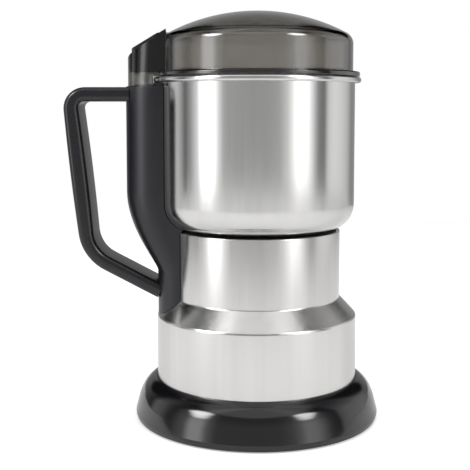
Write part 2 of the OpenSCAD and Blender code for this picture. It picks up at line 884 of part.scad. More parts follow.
module strap(path) {
    rings = [for (s = stations(path)) let (n = [-sin(s.z), cos(s.z)])
        [for (p = slab(strap_t(s.y), grip_w, grip_edge)) [s.x + n.x * p.x, p.y, s.y + n.y * p.x]]];
    skin(rings);
}

module handle() {
    color(charcoal)
        difference() {
            strap(strap_path);
            spine_prism(spine_top - 40, spine_top + 1);
            spine_prism(body_top - 4, curve_foot);
            handle_screw_holes(screw_r + fit / 2);
        }
}

/* Switch in the spine */

module microswitch() {
    color(black)
        difference() {
            translate([-stem_x - switch_d / 2, -switch_w / 2, switch_top - switch_h])
                cube([switch_d, switch_w, switch_h]);
            translate([-stem_x, 0, switch_top - 7]) cylinder(r = pin_r + slide, h = 10);
            for (y = [-6.5, 6.5])
                translate([-stem_x - switch_d, y, switch_top - switch_h * 0.75])
                    rotate([0, 90, 0]) cylinder(r = pin_r, h = 2 * switch_d);
        }
}

module switch_plunger() {
    color([0.85, 0.85, 0.82])
        translate([-stem_x, 0, 0]) {
            translate([0, 0, rod_low]) cylinder(r = rod_r, h = rod_top - rod_low - 1);
            translate([0, 0, rod_top - 1]) cylinder(r1 = rod_r, r2 = rod_r - 0.8, h = 1);
            translate([0, 0, collar_low]) cylinder(r = rod_r + 2, h = collar_h);
        }
}

module switch_actuator() {
    color(brass)
        translate([-stem_x, 0, switch_top - 3]) cylinder(r = pin_r, h = rod_low - switch_top + 3);
}

module plunger_spring() {
    color(steel)
        translate([-stem_x, 0, shelf_top]) coil(rod_r + wire + 0.4, 4, collar_low - shelf_top);
}

/* Lid */

// Points along the dome's curve, from radius edge to the axis.
function dome(r, edge, n = 14) =
    [for (i = [0 : n]) let (a = asin(edge / r) * (1 - i / n)) [r * sin(a), dome_z + r * cos(a), 0]];

// The lid's outside: lip, wall, rounded shoulder and dome.
module lid_outer() {
    revolve(soften(concat([[0, lip_z, 0], [lip_r, lip_z, 0.6], [lip_r, lip_z + lip_h, 1.1],
                           [lid_r, lip_z + lip_h, 0], [lid_r, wall_top, lid_round]],
                          dome(dome_r, lid_r - 0.8 * lid_round)), 5));
}

// The room under the lid, down through its skirt.
module lid_hollow() {
    inner_top = wall_top - lid_wall + 0.6;
    inner_round = lid_round - lid_wall + 0.6;
    revolve(soften(concat([[0, lip_z - skirt_h - 2, 0], [skirt_in, lip_z - skirt_h - 2, 0],
                           [skirt_in, lip_z + 1, 0], [lid_in, lip_z + lip_h, 0], [lid_in, inner_top, inner_round]],
                          dome(dome_r - lid_wall, lid_in - 0.8 * inner_round)), 5));
}

module tab_plan(face, w) {
    linear_extrude(apex_z)
        polygon(concat([[-skirt_in, -w]], bulge(face, spine_flank, w), [[-skirt_in, w]]));
}

module tab_outer() {
    intersection() {
        translate([0, 0, tab_low - 20]) tab_plan(spine_x, spine_w);
        tab_upper();
    }
}

module tab_upper() {
    rotate([90, 0, 0])
        translate([0, 0, -far / 2])
            linear_extrude(far)
                polygon([[-spine_x - 1, tab_low], [-spine_x - 1, roof_foot - 4.2], [-spine_x, roof_foot - 3.4],
                         [-roof_x, roof_foot], [-skirt_in, roof_foot + (roof_x - skirt_in) * tan(roof_slope)],
                         [-skirt_in, tab_low]]);
}

// Room inside the tab, open at the foot, with the roof left over it.
module tab_room() {
    intersection() {
        translate([0, 0, tab_low - 25]) tab_plan(spine_x - lid_wall, spine_w - lid_wall);
        rotate([90, 0, 0])
            translate([0, 0, -far / 2])
                linear_extrude(far)
                    polygon([[-spine_x, tab_low - 1], [-spine_x, roof_foot - 4.6 - roof_drop],
                             [-roof_x, roof_foot - roof_drop],
                             [-skirt_in, roof_foot - roof_drop + (roof_x - skirt_in) * tan(roof_slope)],
                             [-skirt_in, tab_low - 1]]);
    }
}

module button_plan(grow, r = 2) {
    translate([-(button_out + button_in) / 2, 0, 0])
        linear_extrude(far + 60)
            polygon(slab(button_out - button_in + 2 * grow, button_w + 2 * grow, r + grow));
}

// A slab parallel to the roof, from one height above it to another.
module roof_slab(low, high) {
    translate([-roof_x, 0, roof_foot])
        rotate([0, -roof_slope, 0])
            translate([-60, -60, low]) cube([120, 120, high - low]);
}

module lid_shell() {
    color(smoke)
        difference() {
            union() {
                difference() {
                    union() {
                        lid_outer();
                        tube(skirt_r, skirt_in, lip_z - skirt_h, lip_z + 0.5);
                    }
                    lid_hollow();
                }
                difference() {
                    tab_outer();
                    tab_room_beyond_wall();
                    lid_hollow();
                    translate([0, 0, tab_low - 5]) cylinder(r = rim_r + tab_gap, h = lip_z - slide / 2 - tab_low + 5);
                }
            }
            button_plan(slide);
        }
}

module tab_room_beyond_wall() {
    difference() {
        tab_room();
        translate([0, 0, lip_z]) cylinder(r = lid_r, h = far);
    }
}

module lid_seal() {
    color([0.2, 0.2, 0.2])
        revolve([[skirt_r, lip_z - 3.4], [skirt_r + 0.6, lip_z - 3.4], [skirt_r + 0.6, lip_z - 1.4], [skirt_r, lip_z - 1.4]]);
}

// Black insert that fills the tab: it guides the stem and holds the spring.
module button_guide() {
    color(black)
        difference() {
            intersection() {
                tab_room();
                roof_slab(-far, -lid_wall - fit);
                translate([0, 0, guide_low]) tab_plan(spine_x - lid_wall - fit, spine_w - lid_wall - fit);
            }
            cylinder(r = lid_r + fit, h = far + 60);
            translate([0, 0, lip_z - 1]) cylinder(r = lip_r + fit, h = lip_h + 1 + fit);
            intersection() {
                button_plan(slide);
                translate([-far, -far / 2, pocket_z]) cube([far, far, far]);
            }
            translate([-button_out - slide + lug_in, -button_w / 2 - lug_w - slide, pocket_z])
                cube([button_out - button_in - lug_in + 2 * slide, button_w + 2 * (lug_w + slide),
                      button_low + lug_h + slide - pocket_z]);
            translate([-stem_x, 0, guide_low - 1]) cylinder(r = stem_r + slide, h = 10);
        }
}

module button_bezel() {
    color(black)
        difference() {
            intersection() {
                button_plan(slide + bezel_w);
                roof_slab(0, bezel_h);
            }
            button_plan(slide);
            cylinder(r = lid_r, h = far + 60);
        }
}

module push_button() {
    pitch = (button_out - button_in - 3) / rib_count;
    color(black)
        difference() {
            union() {
                intersection() {
                    button_plan(0);
                    roof_slab(-far, button_rise);
                    translate([-far, -far / 2, button_low]) cube([far, far, far]);
                }
                translate([-button_out + lug_in, -button_w / 2 - lug_w, button_low])
                    cube([button_out - button_in - lug_in, button_w + 2 * lug_w, lug_h]);
                translate([-stem_x, 0, stem_low]) cylinder(r = stem_r, h = button_low - stem_low + 1);
            }
            for (i = [0 : rib_count - 1])
                translate([-roof_x, 0, roof_foot])
                    rotate([0, -roof_slope, 0])
                        translate([2.4 + (i + 0.5) * pitch / cos(roof_slope), -button_w / 2 + 2, button_rise - 0.6])
                            cube([pitch * 0.45, button_w - 4, 2]);
        }
}

module button_spring() {
    color(steel)
        translate([-stem_x, 0, pocket_z]) coil(stem_r + wire + 0.4, 3, button_low - pocket_z);
}

base_ring();
bottom_plate();
foot_ring();
base_screws();
cord_gland();
motor_housing();
motor_plate();
boss_screws();
upper_bearing();
lower_bracket();
lower_bearing();
motor_screws();
stator_core();
field_coils();
brush_holders();
carbon_brushes();
bowl_gasket();
bowl_shell();
bowl_boss();
grinding_bowl();
shaft_seal();
spine_housing();
handle();
handle_screws();
microswitch();
motor_shaft();
rotor_core();
rotor_windings();
commutator();
cooling_fan();
blade_hub();
grinding_blade();
blade_nut();
lid_shell();
lid_seal();
button_guide();
button_bezel();
push_button();
button_spring();
switch_plunger();
switch_actuator();
plunger_spring();
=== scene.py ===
import math

import bmesh
import bpy
from mathutils import Matrix, Vector


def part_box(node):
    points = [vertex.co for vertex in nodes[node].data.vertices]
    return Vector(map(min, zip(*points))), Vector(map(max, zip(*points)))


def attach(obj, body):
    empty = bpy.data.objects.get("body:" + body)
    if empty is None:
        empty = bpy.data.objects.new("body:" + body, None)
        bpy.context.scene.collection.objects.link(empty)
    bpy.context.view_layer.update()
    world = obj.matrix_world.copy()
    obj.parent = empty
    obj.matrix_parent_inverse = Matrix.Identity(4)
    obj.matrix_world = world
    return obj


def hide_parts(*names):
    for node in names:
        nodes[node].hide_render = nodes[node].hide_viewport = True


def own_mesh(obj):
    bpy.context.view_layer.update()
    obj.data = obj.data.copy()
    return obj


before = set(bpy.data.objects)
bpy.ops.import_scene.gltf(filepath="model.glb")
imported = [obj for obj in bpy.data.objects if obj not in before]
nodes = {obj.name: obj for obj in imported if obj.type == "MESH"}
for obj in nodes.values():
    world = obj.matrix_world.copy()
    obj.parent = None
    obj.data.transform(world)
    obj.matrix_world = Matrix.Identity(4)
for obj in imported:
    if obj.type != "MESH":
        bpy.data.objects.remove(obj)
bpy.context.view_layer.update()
scene = bpy.context.scene
mm = 0.001
whole = 2 * math.pi
white = (1, 1, 1, 1)
print("frame loaded:", len(nodes), "solids")


# Camera: a little below the lid's lip, looking slightly down. Its shift brings the base into the frame.
cameraLook = {"place": (-1.85, -566.83, 185.17), "down": 4.95, "left": 1.12, "lens": 73.15, "sensor": 36,
              "shiftY": -0.1, "clip": 0.01}


def makeCamera(look):
    data = bpy.data.cameras.new("photoCamera")
    data.lens = look["lens"]
    data.sensor_width = look["sensor"]
    data.shift_y = look["shiftY"]
    data.clip_start = look["clip"]
    camera = bpy.data.objects.new("photoCamera", data)
    camera.location = Vector(look["place"]) * mm
    camera.rotation_euler = (math.radians(90 - look["down"]), 0, math.radians(look["left"]))
    scene.collection.objects.link(camera)
    scene.camera = camera


makeCamera(cameraLook)
print("camera set")


# Node helpers for the finishes and the light. A value in links is either an output to join or a number to set.
def addNode(tree, kind, links=(), **values):
    node = tree.nodes.new(kind)
    for key, value in values.items():
        setattr(node, key, value)
    for socket, source in links:
        if hasattr(source, "is_output"):
            tree.links.new(source, node.inputs[socket])
        else:
            node.inputs[socket].default_value = source
    return node


def mathOf(tree, operation, a, b):
    return addNode(tree, "ShaderNodeMath", [(0, a), (1, b)], operation=operation).outputs[0]


def vectorOf(tree, operation, a, b, result="Vector"):
    return addNode(tree, "ShaderNodeVectorMath", [(0, a), (1, b)], operation=operation).outputs[result]


def rangeOf(tree, value, low, high, least=0.0, most=1.0):
    return addNode(tree, "ShaderNodeMapRange", [("Value", value), ("From Min", low), ("From Max", high),
                                                ("To Min", least), ("To Max", most)]).outputs[0]


# Most of a noise lies between these two values.
noiseSpan = (0.3, 0.7)


def noiseOn(tree, repeats, detail):
    place = addNode(tree, "ShaderNodeTexCoord").outputs["Object"]
    scale = [count / mm for count in repeats]
    stretched = addNode(tree, "ShaderNodeMapping", [("Vector", place), ("Scale", scale)]).outputs[0]
    return addNode(tree, "ShaderNodeTexNoise", [("Vector", stretched), ("Scale", 1.0), ("Detail", detail),
                                                ("Roughness", 0.6)]).outputs["Fac"]


def shadeOf(tree, factor, colour, change):
    ramp = addNode(tree, "ShaderNodeValToRGB", [("Fac", factor)])
    for stop, position, share in zip(ramp.color_ramp.elements, noiseSpan, (1 - change, 1 + change)):
        stop.position = position
        stop.color = [min(1, c * share) for c in colour] + [1]
    return ramp.outputs["Color"]


# Painted shade and light on the clear lid, in millimetres. Its colour is painted dark, as painted shade, where
# its wall is seen on edge, in two rings along its inner corners, and where the insert fills the tab. The tab's
# foot is painted lighter, as painted light, and frosted beyond the bowl's rim.
lidPaintedLightAndFrost = {"edgeOn": (0.61, 0.69), "edgeReach": 61, "edgeTop": 228.2,
            "rings": [(50.9, 227.77, 0.55), (54.0, 225.9, 0.6)], "ringFade": 0.3,
            "back": (-74.6, -73.8), "wall": (56.4, 56.5), "foot": (203.6, 204.2),
            "darkest": 0.02, "filledCoat": 0.1, "footFade": 0.2, "footPaintedLight": 1.28,
            "frostReach": 62.8, "frostRough": 0.25}


def placeOnLid(tree):
    place = addNode(tree, "ShaderNodeTexCoord").outputs["Object"]
    part = addNode(tree, "ShaderNodeSeparateXYZ", [("Vector", place)]).outputs
    reach = vectorOf(tree, "LENGTH", vectorOf(tree, "MULTIPLY", place, (1, 1, 0)), (0, 0, 0), "Value")
    return part["X"], part["Z"], reach


# Paints shade into the lid's colour on edge-on walls, in rings at the crease and over the tab, and light into its
# foot.
def paintLightOnLid(tree, shade, paintedLightAndFrost):
    x, z, reach = placeOnLid(tree)
    facing = addNode(tree, "ShaderNodeLayerWeight", [("Blend", 0.5)]).outputs["Facing"]
    within = mathOf(tree, "LESS_THAN", reach, paintedLightAndFrost["edgeReach"] * mm)
    below = mathOf(tree, "LESS_THAN", z, paintedLightAndFrost["edgeTop"] * mm)
    onLid = mathOf(tree, "MULTIPLY", within, below)
    paintedShade = mathOf(tree, "MULTIPLY", rangeOf(tree, facing, *paintedLightAndFrost["edgeOn"]), onLid)
    spot = addNode(tree, "ShaderNodeCombineXYZ", [("X", reach), ("Z", z)]).outputs[0]
    for radius, height, half in paintedLightAndFrost["rings"]:
        away = vectorOf(tree, "DISTANCE", spot, (radius * mm, 0, height * mm), "Value")
        paintedShade = mathOf(tree, "MAXIMUM", paintedShade, rangeOf(tree, away, (half + paintedLightAndFrost["ringFade"]) * mm, half * mm))
    paintedInsertShade = 1.0
    for value, (low, high) in ((x, paintedLightAndFrost["back"]), (reach, paintedLightAndFrost["wall"]), (z, paintedLightAndFrost["foot"])):
        paintedInsertShade = mathOf(tree, "MULTIPLY", rangeOf(tree, value, low * mm, high * mm), paintedInsertShade)
    coat = rangeOf(tree, paintedInsertShade, 0, 1, 1, paintedLightAndFrost["filledCoat"])
    tree.links.new(coat, tree.nodes["Principled BSDF"].inputs["Coat Weight"])
    clear = rangeOf(tree, mathOf(tree, "MAXIMUM", paintedShade, paintedInsertShade), 0, 1, 1, paintedLightAndFrost["darkest"])
    foot = paintedLightAndFrost["foot"][0]
    # Painted light: the tab's foot is made lighter.
    paintedFootLight = rangeOf(tree, z, (foot + paintedLightAndFrost["footFade"]) * mm, foot * mm, 1, paintedLightAndFrost["footPaintedLight"])
    clear = mathOf(tree, "MULTIPLY", clear, paintedFootLight)
    leaving = addNode(tree, "ShaderNodeNewGeometry").outputs["Backfacing"]
    return vectorOf(tree, "MULTIPLY", shade, mathOf(tree, "MAXIMUM", clear, leaving))


def frostLid(tree, rough, paintedLightAndFrost):
    _, z, reach = placeOnLid(tree)
    beyond = mathOf(tree, "GREATER_THAN", reach, paintedLightAndFrost["frostReach"] * mm)
    below = mathOf(tree, "LESS_THAN", z, paintedLightAndFrost["foot"][0] * mm)
    frost = mathOf(tree, "MULTIPLY", mathOf(tree, "MULTIPLY", beyond, below), paintedLightAndFrost["frostRough"])
    return mathOf(tree, "MAXIMUM", rough, frost)


# grain and patches say how often a pattern repeats per millimetre along X, Y and Z. depth is the grain's, in
# millimetres.
def makeFinish(name, look):
    finish = bpy.data.materials.new(name)
    finish.use_nodes = True
    tree = finish.node_tree
    shader = tree.nodes["Principled BSDF"]
    for socket, value in look.get("sockets", {}).items():
        shader.inputs[socket].default_value = value
    patches = noiseOn(tree, look.get("patches", (0.05, 0.05, 0.05)), 2.0)
    grain = noiseOn(tree, look["grain"], 3.0)
    shade = shadeOf(tree, patches, look["colour"], look.get("change", 0.08))
    rough = rangeOf(tree, grain, *noiseSpan, *look["rough"])
    # Painted shade and light on the lid, and its frosted foot.
    if "paintedLightAndFrost" in look:
        shade = paintLightOnLid(tree, shade, look["paintedLightAndFrost"])
        rough = frostLid(tree, rough, look["paintedLightAndFrost"])
    tree.links.new(shade, shader.inputs["Base Color"])
    tree.links.new(rough, shader.inputs["Roughness"])
    bump = addNode(tree, "ShaderNodeBump", [("Strength", look.get("bump", 0.2)), ("Distance", look["depth"] * mm),
                                            ("Height", grain)])
    tree.links.new(bump.outputs[0], shader.inputs["Normal"])
    if "tint" in look:
        inside = addNode(tree, "ShaderNodeVolumeAbsorption", [("Color", (*look["tint"], 1)),
                                                              ("Density", look["density"])])
        tree.links.new(inside.outputs[0], tree.nodes["Material Output"].inputs["Volume"])
    return finish


metal = {"Metallic": 1.0}
finishLooks = {
    "base_plastic": {"colour": (0.006, 0.006, 0.007), "grain": (1.2, 1.2, 1.2), "rough": (0.07, 0.12),
                     "depth": 0.01, "sockets": {"IOR": 1.5, "Coat Weight": 0.3, "Coat Roughness": 0.12}},
    "inner_plastic": {"colour": (0.02, 0.02, 0.022), "grain": (2, 2, 2), "rough": (0.45, 0.6), "depth": 0.05},
    "rubber": {"colour": (0.015, 0.015, 0.015), "grain": (3, 3, 3), "rough": (0.7, 0.85), "depth": 0.08},
    "fastener": {"colour": (0.6, 0.6, 0.61), "grain": (4, 4, 1), "rough": (0.25, 0.4), "depth": 0.02,
                 "sockets": metal},
    "body_steel": {"colour": (0.68, 0.672, 0.66), "grain": (0.5, 0.5, 0.004), "patches": (0.12, 0.12, 0.002),
                   "rough": (0.19, 0.27), "change": 0.03, "depth": 0.01, "bump": 0.3, "sockets": metal},
    "cast_alloy": {"colour": (0.55, 0.55, 0.57), "grain": (1.5, 1.5, 1.5), "rough": (0.4, 0.55), "depth": 0.06,
                   "sockets": metal},
    "core_iron": {"colour": (0.3, 0.3, 0.32), "grain": (0.1, 0.1, 2.0), "rough": (0.4, 0.6), "depth": 0.1,
                  "sockets": metal},
    "copper_wire": {"colour": (0.62, 0.27, 0.12), "grain": (0.2, 0.2, 1.5), "rough": (0.25, 0.4), "depth": 0.15,
                    "sockets": metal},
    "brass_parts": {"colour": (0.72, 0.52, 0.22), "grain": (1.5, 1.5, 1.5), "rough": (0.25, 0.35),
                    "depth": 0.02, "sockets": metal},
    "carbon": {"colour": (0.03, 0.03, 0.03), "grain": (3, 3, 3), "rough": (0.5, 0.7), "depth": 0.05},
    "bowl_steel": {"colour": (0.67, 0.665, 0.66), "grain": (0.35, 0.35, 0.003), "patches": (0.1, 0.1, 0.002),
                   "rough": (0.13, 0.19), "change": 0.03, "depth": 0.008, "bump": 0.25, "sockets": metal},
    "spine_plastic": {"colour": (0.01, 0.01, 0.014), "grain": (0.8, 0.8, 0.8), "rough": (0.3, 0.38),
                      "depth": 0.008, "sockets": {"IOR": 1.5}},
    "handle_plastic": {"colour": (0.009, 0.009, 0.011), "grain": (0.8, 0.8, 0.8), "rough": (0.2, 0.26),
                       "depth": 0.008, "sockets": {"IOR": 1.5}},
    "blade_steel": {"colour": (0.66, 0.66, 0.67), "grain": (2.5, 0.2, 2.5), "rough": (0.2, 0.32), "depth": 0.015,
                    "sockets": metal},
    "smoky_lid": {"colour": (0.78, 0.77, 0.75), "grain": (0.8, 0.8, 0.8), "rough": (0.03, 0.06), "depth": 0.004,
                  "change": 0.03, "tint": (0.08, 0.05, 0.0), "density": 290.0, "paintedLightAndFrost": lidPaintedLightAndFrost,
                  "sockets": {"Transmission Weight": 1.0, "IOR": 1.5, "Coat Roughness": 0.03}},
    "button_plastic": {"colour": (0.014, 0.014, 0.015), "grain": (2, 2, 2), "rough": (0.28, 0.4), "depth": 0.03},
    "rod_plastic": {"colour": (0.6, 0.59, 0.56), "grain": (1.5, 1.5, 1.5), "rough": (0.4, 0.55), "depth": 0.03,
                    "sockets": {"Subsurface Weight": 0.1, "Subsurface Scale": 0.002}},
}
finishes = {name: makeFinish(name + "Finish", look) for name, look in finishLooks.items()}
for node in nodes.values():
    for place in node.material_slots:
        place.material = finishes[place.material.name]
print("finishes made:", len(finishes))


# Mesh helpers. Sizes are in millimetres.
def onlyOf(kind, geom):
    return [g for g in geom if isinstance(g, kind)]


def closeSeams(bm):
    bmesh.ops.remove_doubles(bm, verts=bm.verts, dist=1e-6)
    bmesh.ops.recalc_face_normals(bm, faces=bm.faces)


def roundOff(bm, geom, size, segments, affect="EDGES", clamp=False):
    bmesh.ops.bevel(bm, geom=geom, offset=size * mm, offset_type="OFFSET", segments=segments, profile=0.5,
                    affect=affect, material=-1, clamp_overlap=clamp)


def addObject(name, bm):
    data = bpy.data.meshes.new(name)
    bm.to_mesh(data)
    bm.free()
    thing = bpy.data.objects.new(name, data)
    scene.collection.objects.link(thing)
    return thing


# A finished mesh becomes a piece that rides on its body and stands for its solids. Its edges are sharp from this
# angle up.
def makePiece(name, bm, body, finish, solids=(), sharp=35):
    closeSeams(bm)
    for edge in bm.edges:
        edge.smooth = edge.calc_face_angle(0) < math.radians(sharp)
    for face in bm.faces:
        face.smooth = True
    piece = addObject(name, bm)
    piece.data.materials.append(finishes[finish])
    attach(piece, body)
    if solids:
        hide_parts(*solids)
    return piece


# Outline of [radius, height, rounding] corners in the XZ plane, closed, or open between two given ends.
def drawOutline(bm, corners, segments, ends=None):
    made = [bm.verts.new(Vector((r, 0, z)) * mm) for r, z, _ in corners]
    chain = [ends[0], *made, ends[1]] if ends else [made[-1], *made, made[0]]
    for a, b in zip(chain, chain[1:] if ends else chain[1:-1]):
        bm.edges.new((a, b))
    angles = [(a.co - v.co).angle(b.co - v.co) for a, v, b in zip(chain, made, chain[2:])]
    for vert, (_, _, rounding), angle in zip(made, corners, angles):
        if rounding:
            roundOff(bm, [vert], rounding / math.tan(angle / 2), segments, "VERTICES")


def turnOutline(bm):
    bmesh.ops.spin(bm, geom=bm.verts[:] + bm.edges[:], cent=(0, 0, 0), axis=(0, 0, 1), angle=whole, steps=180,
                   use_merge=True)


# Turned pieces, as [radius, height, rounding] corners.
turnedPieces = {
    "baseRing": {"finish": "base_plastic", "solid": "base_ring",
                 "corners": [(69.5, 0.6, 0.4), (71.7, 0.6, 0.9), (72.5, 3.6, 3), (69.9, 14, 23.4),
                             (65.85, 22.1, 12), (59.5, 24.5, 0.5), (59.5, 19.5, 0), (55.3, 19.5, 0),
                             (55.3, 17.1, 0), (65, 17.1, 2)]},
    "motorHousing": {"finish": "body_steel", "solid": "motor_housing",
                     "corners": [(58.3, 19.5, 0), (59.3, 19.5, 0), (59.3, 61.5, 2.2), (49.3, 72.2, 1.2),
                                 (49.3, 111.8, 0.5), (48.3, 111.8, 0.4), (48.3, 111, 0), (26, 111, 0),
                                 (26, 110, 0), (48.3, 110, 0.4), (48.3, 71.8, 2.2), (58.3, 61.1, 1.2)]},
    "bowlGasket": {"finish": "rubber", "solid": "bowl_gasket",
                   "corners": [(28.3, 111, 0), (47.3, 111, 0.3), (47.3, 112, 0.3), (28.3, 112, 0)]},
    "bowlShell": {"finish": "bowl_steel", "solid": "bowl_shell",
                  "corners": [(16.2, 112, 0), (57.5, 112, 16), (57.5, 198.2, 0), (56.6, 198.2, 0),
                              (56.6, 112.9, 15.1), (16.2, 112.9, 0)]},
    "grindingBowl": {"finish": "bowl_steel", "solid": "grinding_bowl",
                     "corners": [(7, 120, 0), (55.9, 120, 12), (55.9, 198.2, 0.4), (61, 198.2, 1.2),
                                 (61, 201.5, 1.5), (55, 201.5, 0.8), (55, 120.9, 11.1), (7, 120.9, 0)]},
}
for name, look in turnedPieces.items():
    turned = bmesh.new()
    drawOutline(turned, look["corners"], 10)
    turnOutline(turned)
    makePiece(name, turned, "root", look["finish"], (look["solid"],))
print("turned pieces made:", len(turnedPieces))


# Push pad: a merged copy of the ribbed solid, with its edges rounded.
padLook = {"solid": "push_button", "merge": 0.002, "flat": 0.4, "sharp": 28, "edge": 0.45}


def makePad(look):
    bm = bmesh.new()
    bm.from_mesh(nodes[look["solid"]].data)
    bmesh.ops.remove_doubles(bm, verts=bm.verts, dist=look["merge"] * mm)
    bmesh.ops.dissolve_limit(bm, angle_limit=math.radians(look["flat"]), verts=bm.verts, edges=bm.edges)
    piece = makePiece("pushPad", bm, "button", "button_plastic", (look["solid"],), look["sharp"])
    edges = piece.modifiers.new("roundedEdges", "BEVEL")
    edges.width = look["edge"] * mm
    edges.segments = 3
    edges.limit_method = "ANGLE"
    edges.angle_limit = math.radians(look["sharp"])


makePad(padLook)
print("pad made")


# Lid: a turned cover with a hollow tab over the spine, joined into one clear moulding. dome and under are arcs on
# the axis: centre height, radius and angle. Each slope of the roof has a point (x, z) and an angle.
lidLook = {
    "dome": (128, 112, 27.0), "under": (128, 109.5, 27.93),
    "corners": [(56.3, 225.01, 6.5), (56.3, 204.6, 0.4), (60.3, 204.6, 1.1), (60.3, 201.8, 0.6),
                (54.1, 201.8, 0.3), (54.1, 196.3, 0.5), (52.1, 196.3, 0.5), (52.1, 202.8, 1), (53.8, 204.6, 1),
                (53.8, 222.92, 3.1)],
    "tabFace": 75.8, "tabHalf": 22, "tabFlank": 55, "square": 2.35, "tabLow": 196.4, "tall": 45, "seat": 56.0,
    "roof": [(-73.4, 214.6, 31), (-77.1, 211.2, 42.6)], "roofEdge": 0.9, "roofZone": (-57, 205),
    "rimGap": (63, 201.65), "wall": 2.5, "room": (190, 56.6), "hole": (-72.9, -56.8, 12.3, 2.3), "holeLow": 206,
    "joint": 0.9, "jointZone": (56.3, 20, 204.7, 224)}
bezelLook = {"wide": 1.3, "rise": 1.1, "seat": 56.4, "low": 200, "boxLow": 205, "reach": 9, "skin": 1,
             "stopRise": 1.7, "stopSeat": 54.2, "stopLow": 223.6}
guideLook = {"inset": 2.9, "low": 202.7, "drop": 3.4, "seat": 56.6, "lip": (60.6, 205), "pocket": 204.2,
             "lugs": (-69.9, -56.8, 13.5, 211.1), "past": 2, "stem": (-66, 2.8)}
# Cutters start below and end above all that they cut, and reach in past the tab's wall.
cutLow, cutHigh, cutSeat = 190, 240, 40


def arcFrom(bm, centre, radius, angle):
    top = bm.verts.new((0, 0, (centre + radius) * mm))
    swept = bmesh.ops.spin(bm, geom=[top], cent=(0, 0, centre * mm), axis=(0, 1, 0), angle=math.radians(angle),
                           steps=28)
    return onlyOf(bmesh.types.BMVert, swept["geom_last"])[0]


# Back of a rounded square in plan, from one flank to the other.
def squareArc(face, flank, half, square, steps):
    for i in range(-steps, steps + 1):
        a = math.pi / 2 * i / steps
        yield (-flank - (face - flank) * abs(math.cos(a)) ** (2 / square),
               half * math.copysign(abs(math.sin(a)) ** (2 / square), a))


# The tab's block, inset from its sides and back, from low up to the roof lowered by drop, and as far in as seat.
def makeBlock(inset, low, drop, seat, edge=0.0, look=lidLook):
    bm = bmesh.new()
    half = look["tabHalf"] - inset
    row = [(-math.sqrt(seat ** 2 - half ** 2), -half)]
    row += squareArc(look["tabFace"] - inset, look["tabFlank"], half, look["square"], 24)
    row.append((row[0][0], half))
    row += [(-math.sqrt(seat ** 2 - y * y), y) for y in [half * (1 - k / 6) for k in range(1, 12)]]
    floor = bm.faces.new([bm.verts.new(Vector((x, y, low)) * mm) for x, y in row])
    grown = bmesh.ops.extrude_face_region(bm, geom=[floor])["geom"]
    bmesh.ops.translate(bm, vec=(0, 0, look["tall"] * mm), verts=onlyOf(bmesh.types.BMVert, grown))
    for x, z, slope in look["roof"]:
        lean = math.radians(slope)
        bmesh.ops.bisect_plane(bm, geom=bm.verts[:] + bm.edges[:] + bm.faces[:], clear_outer=True,
                               plane_co=Vector((x, 0, z - drop)) * mm,
                               plane_no=(-math.sin(lean), 0, math.cos(lean)))
        bmesh.ops.holes_fill(bm, edges=[e for e in bm.edges if e.is_boundary])
    bmesh.ops.recalc_face_normals(bm, faces=bm.faces)
    if edge:
        front, above = look["roofZone"]
        roof = [e for e in bm.edges if e.calc_face_angle(0) > 0.3 and any(f.normal.z > 0.3 for f in e.link_faces)
                and all(v.co.z > above * mm and v.co.x < front * mm for v in e.verts)]
        roundOff(bm, roof, edge, 3, clamp=True)
    return bm


def makeBox(low, high, edge=0.0):
    bm = bmesh.new()
    bmesh.ops.create_cube(bm, size=1)
    size = Vector(high) - Vector(low)
    bmesh.ops.scale(bm, vec=size * mm, verts=bm.verts)
    bmesh.ops.translate(bm, vec=(Vector(low) + size / 2) * mm, verts=bm.verts)
    if edge:
        upright = [e for e in bm.edges if abs(e.verts[0].co.z - e.verts[1].co.z) > 0.1 * mm]
        roundOff(bm, upright, edge, 5)
    return bm


def makeRod(x, radius, high, segments=48, low=cutLow):
    bm = bmesh.new()
    middle = Matrix.Translation(Vector((x, 0, (low + high) / 2)) * mm)
    bmesh.ops.create_cone(bm, cap_ends=True, segments=segments, radius1=radius * mm, radius2=radius * mm,
                          depth=(high - low) * mm, matrix=middle)
    return bm


# A round cutter on the lid's own axis, as finely turned as the lid.
def makeCore(radius, high=cutHigh):
    return makeRod(0, radius, high, 180)


# Joins or cuts one mesh with others in turn, and gives the result as a new bmesh.
def carve(bm, steps):
    closeSeams(bm)
    body = addObject("carved", bm)
    tools = []
    for way, tool in steps:
        closeSeams(tool)
        tools.append(addObject("carver", tool))
        cut = body.modifiers.new(way, "BOOLEAN")
        cut.operation = way
        cut.solver = "EXACT"
        cut.object = tools[-1]
    result = bmesh.new()
    result.from_object(body, bpy.context.evaluated_depsgraph_get())
    for thing in [body, *tools]:
        bpy.data.objects.remove(thing)
    return result


def makeLid(look):
    bm = bmesh.new()
    drawOutline(bm, look["corners"], 8, (arcFrom(bm, *look["dome"]), arcFrom(bm, *look["under"])))
    turnOutline(bm)
    tab = makeBlock(0, look["tabLow"], 0, look["seat"], look["roofEdge"])
    tab = carve(tab, [("DIFFERENCE", makeCore(*look["rimGap"]))])
    roomLow, roomSeat = look["room"]
    drop = look["wall"] / math.cos(math.radians(look["roof"][0][2]))
    left, right, half, edge = look["hole"]
    bm = carve(bm, [("UNION", tab), ("DIFFERENCE", makeBlock(look["wall"], roomLow, drop, roomSeat)),
                    ("DIFFERENCE", makeBox((left, -half, look["holeLow"]), (right, half, cutHigh), edge))])
    radius, side, low, high = (size * mm for size in look["jointZone"])
    joint = [e for e in bm.edges if e.calc_face_angle(0) > 0.5
             and all(abs(math.hypot(v.co.x, v.co.y) - radius) < 0.1 * mm and abs(v.co.y) > side
                     and low < v.co.z < high for v in e.verts)]
    roundOff(bm, joint, look["joint"], 3, clamp=True)
    print("lid joined:", len(bm.faces), "faces,", len(joint), "edges at the joint")
    makePiece("lidShell", bm, "lid", "smoky_lid", ("lid_shell",), 30)


